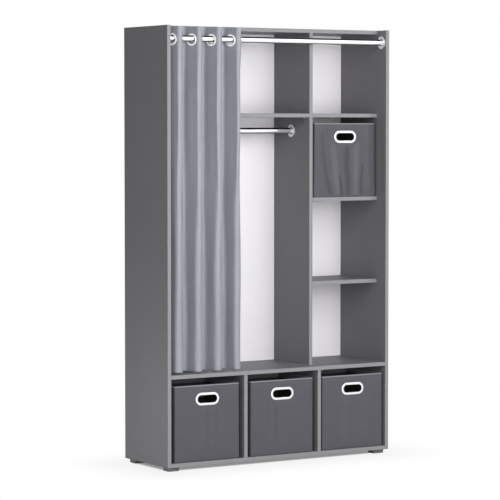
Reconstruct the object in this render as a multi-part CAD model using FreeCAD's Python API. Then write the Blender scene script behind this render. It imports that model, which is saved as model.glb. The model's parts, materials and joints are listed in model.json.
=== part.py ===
import FreeCAD
import Part
import math
import os

from FreeCAD import Vector

# Open kids wardrobe: a grey board carcass with three box bays below, a hanging space and a shelf column
# above, a curtain on a rod across the recessed front, a hanging rod and four folding fabric boxes.
# Millimetres. The origin is on the floor under the middle of the carcass: +X right, +Y to the back, +Z up.

# Carcass
WIDTH = 1070.0  # over the side panels
DEPTH = 350.0  # of the side panels
HEIGHT = 1774.5  # from the floor to the top of the side panels
BOARD = 16.0  # board thickness
EDGE_ROUND = 0.8  # rounding of the boards' edge bands
RECESS = 65.0  # the upper part stands this far behind the side panels' front edges
BAY_HEIGHT = 337.0  # clear height of the lower bays
COLUMN_WIDTH = 324.0  # clear width of the shelf column
COLUMN_SHELVES = ("column_shelf_lower", "column_shelf_middle", "upper_shelf_column")  # from below
SHELF_PLAY = 0.5  # round a loose shelf
BACK_SHEET = 3.0  # thickness of the back sheets
BACK_INSET = 11.0  # from the side panels' rear edges to the back sheets
GROOVE_DEPTH = 7.0  # of the back sheets' grooves in the side panels
GROOVE_PLAY = 0.2  # round a back sheet in its groove

# Feet
FOOT_HEIGHT = 17.0
FOOT_WIDTH = 51.0
FOOT_DEPTH = 46.0
FOOT_DRAFT = 1.0  # the foot narrows this much on each side, towards the floor
FOOT_CORNER = 2.5
FOOT_SIDE_INSET = 12.0
FOOT_FRONT_INSET = 16.0
FOOT_SCREW_RECESS = 9.0  # depth of the screw's pocket in the foot's sole
FOOT_SCREW_POCKET = 11.0  # width of that pocket

# Rods and their sockets
ROD_DIAMETER = 25.0
ROD_WALL = 1.2
CURTAIN_ROD_DROP = 51.0  # axis below the top of the side panels
HANGING_ROD_DROP = 55.0  # axis below the wide shelf
SOCKET_DISC_DIAMETER = 53.0
SOCKET_DISC = 3.0  # thickness of the disc
SOCKET_DEPTH = 11.0  # of disc and cup together
SOCKET_WALL = 2.6  # of the cup round the rod
SOCKET_PLAY = 0.2  # round the rod in its cup
SOCKET_SCREWS = 3

# Curtain
EYELETS = 8
EYELET_PITCH = 45.5  # along the rod, with the curtain gathered
FIRST_EYELET_GAP = 13.0  # from the left socket's cup to the first eyelet's middle
EYELET_PLAY = 9.0  # an eyelet's hole is this much wider than the rod
EYELET_BAND = 7.5  # width of an eyelet's ring
EYELET_FLANGE = 0.9  # thickness of a ring half at its rim
EYELET_CROWN = 1.0  # how far a ring half rises between its rims
EYELET_COLLAR = 1.6  # wall of the collar through the cloth
CLOTH = 1.2  # cloth thickness
CLOTH_PLAY = 0.3  # round the cloth in an eyelet
CLOTH_TOP_DROP = 4.0  # cloth below the top of the side panels
CLOTH_SHELF_GAP = 9.0  # hem above the middle shelf
FOLD_CLEARANCE = 2.0  # from the folds to the front plane and to the shelf fronts
HEADER_BELOW_ROD = 42.0  # the folds keep the header's shape down to here
HEM_STRAIGHT = 25.0  # straight stretch of each fold's flank at the hem, where the folds are rounder
HEM_FLARE = 0.6  # the folds are this much wider at the hem
HEM_EASE = 1.0  # the folds are this much shallower at the hem
SIDE_HEM_TURN = 30.0  # degrees that the side hems curl past the outer eyelets

# Fabric boxes
BOX_SIDE_GAP = 11.5  # beside a box in the narrowest bay
BOX_TOP_GAP = 24.0  # above a box in the lowest tier height
BOX_REAR_GAP = 8.0  # behind the box in the shelf column
BAY_SETBACK = 8.0  # boxes in the bays behind the side panels' front edges
COLUMN_SETBACK = 2.0  # box in the column behind its shelf's front edge
SLIDE_GAP = 0.3  # under a box
FABRIC = 1.2  # thickness of a box's cover
WALL_BOARD = 2.5  # stiffening boards in a box's walls
BASE_BOARD = 3.0  # loose board in a box's bottom
BASE_PLAY = 0.5  # round the base board
BOX_CORNER = 5.0  # outer radius of a box's upright edges
BOX_HEM = 18.0  # the cover turns over the boards and this far down inside
HANDLE_WIDTH = 110.0
HANDLE_HEIGHT = 51.0
HANDLE_BAND = 9.5  # width of the handle rim
HANDLE_PROUD = 2.5  # rim in front of the cover
HANDLE_ROUND = 1.2  # rounding of the rim's front edges
HANDLE_DROP = 57.0  # handle's middle below the box's top
HANDLE_COLLAR = 2.0  # wall of the rim's collar through the box's front

# Fasteners, given as diameters and lengths
FIT = 0.05  # round a fastener in its hole
END_PLAY = 0.2  # at the ends of a hole
CONNECTOR_INSET = 30.0  # dowels from a board's front and rear edges
CONNECTOR_STEP = 32.0  # from a dowel to the connector beside it
DOWEL_DIAMETER = 8.0
DOWEL_LENGTH = 30.0
DOWEL_SKIN = 5.0  # board left behind a dowel in a board's face
CAM_DIAMETER = 15.0
CAM_BACKSET = 34.0  # cam's middle from the board's end
CAM_SKIN = 3.5  # board left over a cam
BOLT_DIAMETER = 7.0
BOLT_THREAD = 5.0
BOLT_GRIP = 11.0  # length of a bolt in the side panel
BOLT_TIP = 2.0  # bolt's end short of the cam's middle
PIN_DIAMETER = 5.0
PIN_WEB = 2.0  # board left between shelf pins on both sides of it
PEG_DIAMETER = 8.0
PEG_LENGTH = 8.0
PEG_FLAT = 2.5  # shelf above a pin's axis
SCREW_LAND = 0.4  # straight rim of a countersunk head
DIVIDER_SCREW_DIAMETER = 7.0
DIVIDER_SCREW_HEAD = 10.0
DIVIDER_SCREW_LENGTH = 50.0
SOCKET_SCREW_DIAMETER = 3.2
SOCKET_SCREW_HEAD = 6.0
SOCKET_SCREW_GRIP = 10.0  # length of a socket's screw in the board
FOOT_SCREW_DIAMETER = 4.0
FOOT_SCREW_HEAD = 8.0
FOOT_SCREW_GRIP = 12.0  # length of a foot's screw in the bottom panel
NAIL_DIAMETER = 1.6
NAIL_HEAD = 4.0
NAIL_HEAD_HEIGHT = 0.8
NAIL_LENGTH = 20.0
NAILS_ACROSS = 5
NAIL_EDGE = 40.0  # outer nails from the side panels

# Places of the main planes
LEFT = -WIDTH / 2
RIGHT = WIDTH / 2
FRONT = -DEPTH / 2
REAR = DEPTH / 2
LEFT_FACE = LEFT + BOARD
RIGHT_FACE = RIGHT - BOARD
UPPER_FRONT = FRONT + RECESS
SHEET_FACE = REAR - BACK_INSET - BACK_SHEET
BOTTOM_Z = FOOT_HEIGHT
BOTTOM_TOP = BOTTOM_Z + BOARD
MIDDLE_Z = BOTTOM_TOP + BAY_HEIGHT
MIDDLE_TOP = MIDDLE_Z + BOARD
TOP_Z = HEIGHT - BOARD
TIERS = len(COLUMN_SHELVES) + 1  # equal tiers above the middle shelf
TIER_HEIGHT = (TOP_Z - MIDDLE_TOP - (TIERS - 1) * BOARD) / TIERS
SHELF_Z = [MIDDLE_TOP + TIER_HEIGHT + i * (TIER_HEIGHT + BOARD) for i in range(TIERS - 1)]
COLUMN_LEFT = RIGHT_FACE - COLUMN_WIDTH
DIVIDER_LEFT = COLUMN_LEFT - BOARD
BAY_WIDTH = (DIVIDER_LEFT - LEFT_FACE - BOARD) / 2
ROD_RADIUS = ROD_DIAMETER / 2
CURTAIN_ROD = (FRONT + RECESS / 2, HEIGHT - CURTAIN_ROD_DROP)  # y and z of the axis
HANGING_ROD = ((UPPER_FRONT + SHEET_FACE) / 2, SHELF_Z[-1] - HANGING_ROD_DROP)

UP = Vector(0, 0, 1)
DOWN = Vector(0, 0, -1)
RIGHTWARD = Vector(1, 0, 0)
LEFTWARD = Vector(-1, 0, 0)
FORWARD = Vector(0, -1, 0)
BACKWARD = Vector(0, 1, 0)

solids = {}
cutters = {}


def place(node, *shapes):
    """Adds solids to a node."""
    solids.setdefault(node, []).extend(shapes)


def cut_later(nodes, shape):
    """Takes a shape out of the nodes once all pieces are there."""
    for node in nodes:
        cutters.setdefault(node, []).append(shape)


def block(x0, x1, y0, y1, z0, z1):
    return Part.makeBox(x1 - x0, y1 - y0, z1 - z0, Vector(x0, y0, z0))


def edged_board(x0, x1, y0, y1, z0, z1, top_band=False):
    """A board with a rounded edge band along its front, and along its top if that is banded too."""
    raw = block(x0, x1, y0, y1, z0, z1)
    banded = []
    for edge in raw.Edges:
        in_front = all(abs(v.Y - y0) < FIT for v in edge.Vertexes)
        on_top = all(abs(v.Z - z1) < FIT for v in edge.Vertexes)
        at_rear = all(abs(v.Y - y1) < FIT for v in edge.Vertexes)
        long_front = in_front and edge.Length > BOARD + FIT
        if long_front or (top_band and on_top and not at_rear):
            banded.append(edge)
    return raw.makeFillet(EDGE_ROUND, banded)


def wire_of(points):
    """A closed wire of straight lines through the points."""
    return Part.makePolygon(points + points[:1])


def turned(outline, at, axis):
    """Revolves an outline of (radius, height) points and stands it at a place, its height along the axis."""
    face = Part.Face(wire_of([Vector(r, 0, h) for r, h in outline]))
    return stood(face.revolve(Vector(), UP, 360), at, axis)


def stood(shape, at, axis):
    """Moves a shape made along +Z from the origin to a place, along an axis."""
    moved = shape.copy()
    moved.Placement = FreeCAD.Placement(at, FreeCAD.Rotation(UP, axis))
    return moved


def grown(outline):
    """The hole for a turned fastener: its outline with the fit's clearance."""
    low = min(h for _, h in outline)
    high = max(h for _, h in outline)
    shift = {low: -END_PLAY, high: END_PLAY}
    return [(r + FIT if r else 0.0, h + shift.get(h, 0.0)) for r, h in outline]


def fasten(group, nodes, outline, at, axis):
    """Adds one turned fastener to its group and its hole to the nodes that it holds."""
    place(group, turned(outline, at, axis))
    hole = turned(grown(outline), at, axis)
    cut_later(nodes, hole)
    return hole


def pin_outline(diameter, length):
    return [(0, 0), (diameter / 2, 0), (diameter / 2, length), (0, length)]


def screw_outline(head, shank, length):
    """A countersunk screw, its head's flat at height 0 and its point at the end."""
    neck = SCREW_LAND + (head - shank) / 2
    point = length - shank / 2
    return [(0, 0), (head / 2, 0), (head / 2, SCREW_LAND), (shank / 2, neck), (shank / 2, point), (0, length)]


def rounded_outline(x0, x1, y0, y1, z, corner):
    """A rectangle with round corners, level at height z."""
    arcs = []
    for cx, cy, start in (
        (x1 - corner, y1 - corner, 0),
        (x0 + corner, y1 - corner, 90),
        (x0 + corner, y0 + corner, 180),
        (x1 - corner, y0 + corner, 270),
    ):
        angles = [math.radians(start + turn) for turn in (0, 45, 90)]
        arcs.append([Vector(cx + corner * math.cos(a), cy + corner * math.sin(a), z) for a in angles])
    edges = []
    for arc, following in zip(arcs, arcs[1:] + arcs[:1]):
        edges.append(Part.Arc(*arc).toShape())
        edges.append(Part.LineSegment(arc[-1], following[0]).toShape())
    return Part.Wire(edges)


def rounded_prism(x0, x1, y0, y1, z0, z1, corner):
    return Part.Face(rounded_outline(x0, x1, y0, y1, z0, corner)).extrude(UP * (z1 - z0))


def stadium(x, z, width, height, y0, y1):
    """A bar with round ends, upright in the front's plane, from y0 back to y1."""
    end = height / 2
    half = width / 2 - end

    def spot(side, up):
        return Vector(x + side, y0, z + up)

    right = Part.Arc(spot(half, -end), spot(half + end, 0), spot(half, end))
    top = Part.LineSegment(spot(half, end), spot(-half, end))
    left = Part.Arc(spot(-half, end), spot(-half - end, 0), spot(-half, -end))
    base = Part.LineSegment(spot(-half, -end), spot(half, -end))
    outline = Part.Wire([curve.toShape() for curve in (right, top, left, base)])
    return Part.Face(outline).extrude(BACKWARD * (y1 - y0))


# Carcass boards and back

def make_boards():
    for node, x0, x1, inner, outward in (
        ("left_side_panel", LEFT, LEFT_FACE, LEFT_FACE, -1),
        ("right_side_panel", RIGHT_FACE, RIGHT, RIGHT_FACE, 1),
    ):
        place(node, edged_board(x0, x1, FRONT, REAR, BOTTOM_Z, HEIGHT, top_band=True))
        shallow, deep = sorted((inner, inner + outward * GROOVE_DEPTH))
        groove_front = SHEET_FACE - GROOVE_PLAY
        groove_rear = SHEET_FACE + BACK_SHEET + GROOVE_PLAY
        cut_later([node], block(shallow, deep, groove_front, groove_rear, BOTTOM_Z, HEIGHT))
    place("bottom_panel", edged_board(LEFT_FACE, RIGHT_FACE, FRONT, SHEET_FACE, BOTTOM_Z, BOTTOM_TOP))
    place("middle_shelf", edged_board(LEFT_FACE, RIGHT_FACE, FRONT, SHEET_FACE, MIDDLE_Z, MIDDLE_TOP))
    place("top_panel", edged_board(LEFT_FACE, RIGHT_FACE, UPPER_FRONT, SHEET_FACE, TOP_Z, HEIGHT))
    inner_divider = LEFT_FACE + BAY_WIDTH
    for node, x in (("lower_divider_left", inner_divider), ("lower_divider_right", DIVIDER_LEFT)):
        place(node, edged_board(x, x + BOARD, FRONT, SHEET_FACE, BOTTOM_TOP, MIDDLE_Z))
    place("upper_divider", edged_board(DIVIDER_LEFT, COLUMN_LEFT, UPPER_FRONT, SHEET_FACE, MIDDLE_TOP, TOP_Z))


def make_back():
    """Two thin sheets in the side panels' grooves, meeting behind the middle shelf."""
    seam = MIDDLE_Z + BOARD / 2
    reach = GROOVE_DEPTH - GROOVE_PLAY
    for node, z0, z1 in (("back_sheet_lower", BOTTOM_Z, seam), ("back_sheet_upper", seam, HEIGHT)):
        place(node, block(LEFT_FACE - reach, RIGHT_FACE + reach, SHEET_FACE, SHEET_FACE + BACK_SHEET, z0, z1))
    nail = [
        (0, 0),
        (NAIL_HEAD / 2, 0),
        (NAIL_HEAD / 2, NAIL_HEAD_HEIGHT),
        (NAIL_DIAMETER / 2, NAIL_HEAD_HEIGHT),
        (NAIL_DIAMETER / 2, NAIL_LENGTH),
        (0, NAIL_LENGTH),
    ]
    across = RIGHT_FACE - LEFT_FACE - 2 * NAIL_EDGE
    head_y = SHEET_FACE + BACK_SHEET + NAIL_HEAD_HEIGHT
    for sheet, board, z in (
        ("back_sheet_lower", "bottom_panel", BOTTOM_Z + BOARD / 2),
        ("back_sheet_lower", "middle_shelf", seam - BOARD / 4),
        ("back_sheet_upper", "middle_shelf", seam + BOARD / 4),
        ("back_sheet_upper", "top_panel", TOP_Z + BOARD / 2),
    ):
        for i in range(NAILS_ACROSS):
            x = LEFT_FACE + NAIL_EDGE + across * i / (NAILS_ACROSS - 1)
            fasten("back_nails", [sheet, board], nail, Vector(x, head_y, z), FORWARD)


def make_shelves():
    """Loose shelves, each on four pins."""
    rear = SHEET_FACE - SHELF_PLAY
    wide = ("left_side_panel", LEFT_FACE, "upper_divider", DIVIDER_LEFT)
    column = ("upper_divider", COLUMN_LEFT, "right_side_panel", RIGHT_FACE)
    shelves = [("upper_shelf_wide", SHELF_Z[-1], wide)]
    shelves += [(node, z, column) for node, z in zip(COLUMN_SHELVES, SHELF_Z)]
    for node, z, (left_node, x0, right_node, x1) in shelves:
        place(node, edged_board(x0 + SHELF_PLAY, x1 - SHELF_PLAY, UPPER_FRONT, rear, z, z + BOARD))
        for y in (UPPER_FRONT + CONNECTOR_INSET, rear - CONNECTOR_INSET):
            shelf_pin(left_node, Vector(x0, y, z - PEG_FLAT), RIGHTWARD)
            shelf_pin(right_node, Vector(x1, y, z - PEG_FLAT), LEFTWARD)


def shelf_pin(node, at, axis):
    """A stub in the board and a peg with a flat top, which the shelf lies on."""
    depth = (BOARD - PIN_WEB) / 2
    stub = pin_outline(PIN_DIAMETER, depth)
    root = at - axis * depth
    peg = turned(pin_outline(PEG_DIAMETER, PEG_LENGTH), at, axis)
    over = at + UP * PEG_FLAT
    reach = PEG_DIAMETER + PEG_LENGTH
    flat = block(over.x - reach, over.x + reach, over.y - reach, over.y + reach, over.z, over.z + reach)
    place("shelf_pins", peg.cut(flat).fuse(turned(stub, root, axis)).removeSplitter())
    cut_later([node], turned(grown(stub), root, axis))


# Board connectors

def join_sides():
    """Dowels and cam joints at both ends of the three boards between the side panels."""
    sides = (("left_side_panel", LEFT_FACE, LEFTWARD), ("right_side_panel", RIGHT_FACE, RIGHTWARD))
    for board, z, y0 in (
        ("bottom_panel", BOTTOM_Z, FRONT),
        ("middle_shelf", MIDDLE_Z, FRONT),
        ("top_panel", TOP_Z, UPPER_FRONT),
    ):
        for side, x, outward in sides:
            for edge, inward in ((y0, 1), (SHEET_FACE, -1)):
                dowel_y = edge + inward * CONNECTOR_INSET
                dowel(board, side, Vector(x, dowel_y, z + BOARD / 2), outward)
                cam_joint(board, side, Vector(x, dowel_y + inward * CONNECTOR_STEP, z + BOARD / 2), outward)


def join_dividers():
    """Dowels at both ends of the dividers, and screws from outside through the bottom and the top panel."""
    lower = ("bottom_panel", BOTTOM_TOP, "middle_shelf", MIDDLE_Z)
    upper = ("middle_shelf", MIDDLE_TOP, "top_panel", TOP_Z)
    for node, x, y0, (base, base_z, cap, cap_z), inset in (
        ("lower_divider_left", LEFT_FACE + BAY_WIDTH, FRONT, lower, CONNECTOR_INSET),
        ("lower_divider_right", DIVIDER_LEFT, FRONT, lower, CONNECTOR_INSET),
        ("upper_divider", DIVIDER_LEFT, UPPER_FRONT, upper, CONNECTOR_INSET + CONNECTOR_STEP),
    ):
        middle = x + BOARD / 2
        for edge, inward in ((y0, 1), (SHEET_FACE, -1)):
            y = edge + inward * inset
            dowel(node, base, Vector(middle, y, base_z), DOWN)
            dowel(node, cap, Vector(middle, y, cap_z), UP)
            screw_y = y + inward * CONNECTOR_STEP
            if base == "bottom_panel":
                divider_screw([base, node], Vector(middle, screw_y, BOTTOM_Z), UP)
            else:
                divider_screw([cap, node], Vector(middle, screw_y, HEIGHT), DOWN)


def dowel(edge_node, face_node, at, axis):
    """A dowel from the end of one board into the face of another, which the axis points into."""
    in_face = BOARD - DOWEL_SKIN
    start = at + axis * (in_face - DOWEL_LENGTH)
    fasten("dowels", [edge_node, face_node], pin_outline(DOWEL_DIAMETER, DOWEL_LENGTH), start, axis)


def divider_screw(nodes, at, axis):
    outline = screw_outline(DIVIDER_SCREW_HEAD, DIVIDER_SCREW_DIAMETER, DIVIDER_SCREW_LENGTH)
    fasten("divider_screws", nodes, outline, at, axis)


def cam_joint(board, side, at, outward):
    """A bolt from the side panel into the board's end, held by a cam disc in the board's underside."""
    inside = CAM_BACKSET - BOLT_TIP
    bolt = [
        (0, 0),
        (BOLT_DIAMETER / 2, 0),
        (BOLT_DIAMETER / 2, inside),
        (BOLT_THREAD / 2, inside),
        (BOLT_THREAD / 2, inside + BOLT_GRIP),
        (0, inside + BOLT_GRIP),
    ]
    hole = fasten("cam_bolts", [board, side], bolt, at - outward * inside, outward)
    cam = pin_outline(CAM_DIAMETER, BOARD - CAM_SKIN)
    seat = at - outward * CAM_BACKSET + DOWN * (BOARD / 2)
    place("cam_discs", turned(cam, seat, UP).cut(hole))
    cut_later([board], turned(grown(cam), seat, UP))


# Feet

def make_feet():
    head_z = FOOT_SCREW_RECESS
    length = FOOT_HEIGHT - FOOT_SCREW_RECESS + FOOT_SCREW_GRIP
    screw = screw_outline(FOOT_SCREW_HEAD, FOOT_SCREW_DIAMETER, length)
    for side, x0, x1 in (
        ("left", LEFT + FOOT_SIDE_INSET, LEFT + FOOT_SIDE_INSET + FOOT_WIDTH),
        ("right", RIGHT - FOOT_SIDE_INSET - FOOT_WIDTH, RIGHT - FOOT_SIDE_INSET),
    ):
        for end, y0, y1 in (
            ("front", FRONT + FOOT_FRONT_INSET, FRONT + FOOT_FRONT_INSET + FOOT_DEPTH),
            ("rear", REAR - FOOT_FRONT_INSET - FOOT_DEPTH, REAR - FOOT_FRONT_INSET),
        ):
            node = f"foot_{end}_{side}"
            d = FOOT_DRAFT
            sole = rounded_outline(x0 + d, x1 - d, y0 + d, y1 - d, 0, FOOT_CORNER)
            crown = rounded_outline(x0, x1, y0, y1, FOOT_HEIGHT, FOOT_CORNER)
            middle = Vector((x0 + x1) / 2, (y0 + y1) / 2, 0)
            pocket = Part.makeCylinder(FOOT_SCREW_POCKET / 2, FOOT_SCREW_RECESS, middle)
            place(node, Part.makeLoft([sole, crown], True, True).cut(pocket))
            fasten("foot_screws", [node, "bottom_panel"], screw, middle + UP * head_z, UP)


# Rods

def socket(node, board, at, axis):
    """A round disc with a cup for the rod's end, screwed to a board's face."""
    cup = ROD_RADIUS + SOCKET_PLAY
    hub = cup + SOCKET_WALL
    disc = SOCKET_DISC_DIAMETER / 2
    outline = [(0, 0), (disc, 0), (disc, SOCKET_DISC), (hub, SOCKET_DISC), (hub, SOCKET_DEPTH)]
    outline += [(cup, SOCKET_DEPTH), (cup, SOCKET_DISC), (0, SOCKET_DISC)]
    place(node, turned(outline, at, axis))
    screw = screw_outline(SOCKET_SCREW_HEAD, SOCKET_SCREW_DIAMETER, SOCKET_DISC + SOCKET_SCREW_GRIP)
    circle = (hub + disc) / 2
    for i in range(SOCKET_SCREWS):
        angle = 2 * math.pi * i / SOCKET_SCREWS + math.pi / 2
        spot = Vector(0, circle * math.cos(angle), circle * math.sin(angle))
        fasten("socket_screws", [node, board], screw, at + axis * SOCKET_DISC + spot, axis * -1)


def make_rods():
    """The curtain rod across the front and the hanging rod below the wide shelf."""
    make_rod("curtain_rod", "left_side_panel", LEFT_FACE, "right_side_panel", RIGHT_FACE, *CURTAIN_ROD)
    make_rod("hanging_rod", "left_side_panel", LEFT_FACE, "upper_divider", DIVIDER_LEFT, *HANGING_ROD)


def make_rod(name, left_board, x0, right_board, x1, y, z):
    """A tube between two sockets."""
    socket(f"{name}_socket_left", left_board, Vector(x0, y, z), RIGHTWARD)
    socket(f"{name}_socket_right", right_board, Vector(x1, y, z), LEFTWARD)
    start = Vector(x0 + SOCKET_DISC, y, z)
    length = x1 - x0 - 2 * SOCKET_DISC
    bore = ROD_RADIUS - ROD_WALL
    tube = [(bore, 0), (ROD_RADIUS, 0), (ROD_RADIUS, length), (bore, length)]
    place(name, turned(tube, start, RIGHTWARD))


# Curtain

def fold(pitch, depth, straight):
    """The slope of a fold's flanks and the radius of its crests.

    A half fold is a straight flank through the rod's axis and an arc over the crest. It takes the pitch along
    the rod, and the crest stands the given depth in front of the axis or behind it.
    """
    low, high = math.radians(5), math.radians(89)
    for _ in range(60):
        slope = (low + high) / 2
        reach = straight / 2 * math.sin(slope)
        reach += (pitch - straight * math.cos(slope)) / 2 * math.tan(slope / 2)
        if reach < depth:
            low = slope
        else:
            high = slope
    return slope, (pitch - straight * math.cos(slope)) / (2 * math.sin(slope))


def walked_line(at, length):
    x, y, heading = at
    return x + length * math.cos(heading), y + length * math.sin(heading), heading


def walked_arc(at, turn, radius):
    x, y, heading = at
    signed = math.copysign(radius, turn)
    cx = x - signed * math.sin(heading)
    cy = y + signed * math.cos(heading)
    heading += turn
    return cx + signed * math.sin(heading), cy - signed * math.cos(heading), heading


def fold_line(pitch, depth, straight):
    """The cloth's middle line in plan, from the left hem to the right one, as lines and arcs.

    Each stretch is its points (x, y, heading): two for a line and three for an arc. The first eyelet is
    at (0, 0).
    """
    slope, radius = fold(pitch, depth, straight)
    curl = math.radians(SIDE_HEM_TURN)
    at = (0.0, 0.0, curl - slope)
    turns = [-curl] + [2 * slope * (-1) ** i for i in range(EYELETS - 1)] + [-curl * (-1) ** EYELETS]
    stretches = []
    for turn in turns:
        half = walked_arc(at, turn / 2, radius)
        end = walked_arc(at, turn, radius)
        stretches.append((at, half, end))
        at = end
        if len(stretches) < 2 * EYELETS:
            at = walked_line(end, straight)
            stretches.append((end, at))
    (ax, ay, _), (bx, by, _) = stretches[1]
    cx, cy = (ax + bx) / 2, (ay + by) / 2
    length = EYELETS * straight + radius * sum(abs(turn) for turn in turns)
    return [[(x - cx, y - cy, heading) for x, y, heading in stretch] for stretch in stretches], slope, length


def cloth_outline(stretches, x, y, z):
    """The cloth's closed outline in plan at height z: the middle line, set off to both sides."""
    def beside(point, offset):
        px, py, heading = point
        return Vector(x + px - offset * math.sin(heading), y + py + offset * math.cos(heading), z)

    ahead = [[beside(point, CLOTH / 2) for point in stretch] for stretch in stretches]
    back = [[beside(point, -CLOTH / 2) for point in stretch[::-1]] for stretch in stretches[::-1]]
    edges = []
    for points in ahead + [[ahead[-1][-1], back[0][0]]] + back + [[back[-1][-1], ahead[0][0]]]:
        curve = Part.LineSegment(*points) if len(points) == 2 else Part.Arc(*points)
        edges.append(curve.toShape())
    return Part.Wire(edges)


def eyelet_halves(bore, rim, slot):
    """The two halves of an eyelet about +Z: crowned rings, the front one with a collar through the cloth."""
    halves = []
    for up in (1, -1):
        seat = up * slot
        lip = up * (slot + EYELET_FLANGE)
        crown = up * (slot + EYELET_FLANGE + EYELET_CROWN)
        arc = Part.Arc(Vector(bore, 0, lip), Vector((bore + rim) / 2, 0, crown), Vector(rim, 0, lip))
        corners = [Vector(rim, 0, lip), Vector(rim, 0, seat)]
        if up > 0:
            collar = bore + EYELET_COLLAR
            corners += [Vector(collar, 0, seat), Vector(collar, 0, -slot), Vector(bore, 0, -slot)]
        else:
            corners += [Vector(bore, 0, seat)]
        corners.append(Vector(bore, 0, lip))
        edges = [arc.toShape()]
        edges += [Part.LineSegment(a, b).toShape() for a, b in zip(corners, corners[1:])]
        halves.append(Part.Face(Part.Wire(edges)).revolve(Vector(), UP, 360))
    return halves


def make_curtain():
    rod_y, rod_z = CURTAIN_ROD
    bore = ROD_RADIUS + EYELET_PLAY / 2
    rim = bore + EYELET_BAND
    slot = CLOTH / 2 + CLOTH_PLAY
    depth = RECESS / 2 - FOLD_CLEARANCE - CLOTH / 2
    first_x = LEFT_FACE + SOCKET_DEPTH + FIRST_EYELET_GAP
    eyelet_z = rod_z - (bore - ROD_RADIUS - CLOTH_PLAY)
    header, slope, length = fold_line(EYELET_PITCH, depth, 2 * rim)
    hem, _, _ = fold_line(EYELET_PITCH + HEM_FLARE, depth - HEM_EASE, HEM_STRAIGHT)
    top = HEIGHT - CLOTH_TOP_DROP
    sections = [
        cloth_outline(header, first_x, rod_y, top),
        cloth_outline(header, first_x, rod_y, rod_z - HEADER_BELOW_ROD),
        cloth_outline(hem, first_x, rod_y, MIDDLE_TOP + CLOTH_SHELF_GAP),
    ]
    place("curtain_cloth", Part.makeLoft(sections, True, True))
    hole = Part.makeCylinder(bore + EYELET_COLLAR + CLOTH_PLAY, 4 * slot, Vector(0, 0, -2 * slot))
    for i in range(EYELETS):
        heading = slope * (-1) ** (i + 1)
        axis = Vector(-math.sin(heading), math.cos(heading), 0)
        if axis.x > 0:
            axis = axis * -1
        at = Vector(first_x + i * EYELET_PITCH, rod_y, eyelet_z)
        place(f"curtain_eyelet_{i + 1}", *[stood(half, at, axis) for half in eyelet_halves(bore, rim, slot)])
        cut_later(["curtain_cloth"], stood(hole, at, axis))
    print(f"curtain cut: {length:.0f} wide, {top - MIDDLE_TOP - CLOTH_SHELF_GAP:.0f} long")


# Fabric boxes

def fabric_box(name, middle_x, front, z):
    """A folding box: cover, four wall boards in it, a loose base board and a rimmed handle hole."""
    width = min(BAY_WIDTH, COLUMN_WIDTH) - 2 * BOX_SIDE_GAP
    height = min(BAY_HEIGHT, TIER_HEIGHT) - BOX_TOP_GAP
    depth = SHEET_FACE - UPPER_FRONT - COLUMN_SETBACK - BOX_REAR_GAP
    x0, x1 = middle_x - width / 2, middle_x + width / 2
    y0, y1 = front, front + depth
    z1 = z + height

    def prism(inset, low, high):
        corner = max(BOX_CORNER - inset, FABRIC / 2)
        return rounded_prism(x0 + inset, x1 - inset, y0 + inset, y1 - inset, low, high, corner)

    board_face = FABRIC + WALL_BOARD
    inside = board_face + FABRIC
    pocket = prism(FABRIC, z + FABRIC, z1 - FABRIC)
    turn_in = prism(board_face, z1 - FABRIC - BOX_HEM, z1 - FABRIC)
    mouth = prism(inside, z + FABRIC, z1 + FABRIC)
    cover = prism(0, z, z1).cut(pocket.cut(turn_in)).cut(mouth)
    place(f"{name}_cover", cover)

    low, high = z + FABRIC, z1 - FABRIC
    side = BOX_CORNER
    boards = {
        "front": block(x0 + side, x1 - side, y0 + FABRIC, y0 + board_face, low, high),
        "rear": block(x0 + side, x1 - side, y1 - board_face, y1 - FABRIC, low, high),
        "left": block(x0 + FABRIC, x0 + board_face, y0 + side, y1 - side, low, high),
        "right": block(x1 - board_face, x1 - FABRIC, y0 + side, y1 - side, low, high),
    }
    play = board_face + BASE_PLAY
    base = block(x0 + play, x1 - play, y0 + play, y1 - play, low, low + BASE_BOARD)
    place(f"{name}_base_board", base)

    handle_z = z1 - HANDLE_DROP
    hole_width = HANDLE_WIDTH - 2 * HANDLE_BAND
    hole_height = HANDLE_HEIGHT - 2 * HANDLE_BAND
    back = y0 + board_face

    def bar(grow, start, end):
        return stadium(middle_x, handle_z, hole_width + 2 * grow, hole_height + 2 * grow, start, end)

    rim = bar(HANDLE_BAND, y0 - HANDLE_PROUD, y0)
    face_edges = [e for e in rim.Edges if all(abs(v.Y - y0 + HANDLE_PROUD) < FIT for v in e.Vertexes)]
    rim = rim.makeFillet(HANDLE_ROUND, face_edges)
    rim = rim.fuse(bar(HANDLE_COLLAR, y0, back)).removeSplitter()
    finger_hole = bar(0, y0 - 2 * HANDLE_PROUD, back + 2 * HANDLE_PROUD)
    keeper = bar(HANDLE_BAND / 2, back, back + HANDLE_PROUD / 2)
    place(f"{name}_handle", rim.cut(finger_hole), keeper.cut(finger_hole))
    opening = bar(HANDLE_COLLAR + FIT, y0 - HANDLE_PROUD, back + HANDLE_PROUD)
    boards["front"] = boards["front"].cut(opening)
    cut_later([f"{name}_cover"], opening)
    place(f"{name}_wall_boards", *boards.values())


def make_boxes():
    bay_front = FRONT + BAY_SETBACK
    bay_z = BOTTOM_TOP + SLIDE_GAP
    column_middle = (COLUMN_LEFT + RIGHT_FACE) / 2
    fabric_box("box_left", LEFT_FACE + BAY_WIDTH / 2, bay_front, bay_z)
    fabric_box("box_middle", DIVIDER_LEFT - BAY_WIDTH / 2, bay_front, bay_z)
    fabric_box("box_right", column_middle, bay_front, bay_z)
    fabric_box("box_column", column_middle, UPPER_FRONT + COLUMN_SETBACK, SHELF_Z[-2] + BOARD + SLIDE_GAP)


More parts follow.
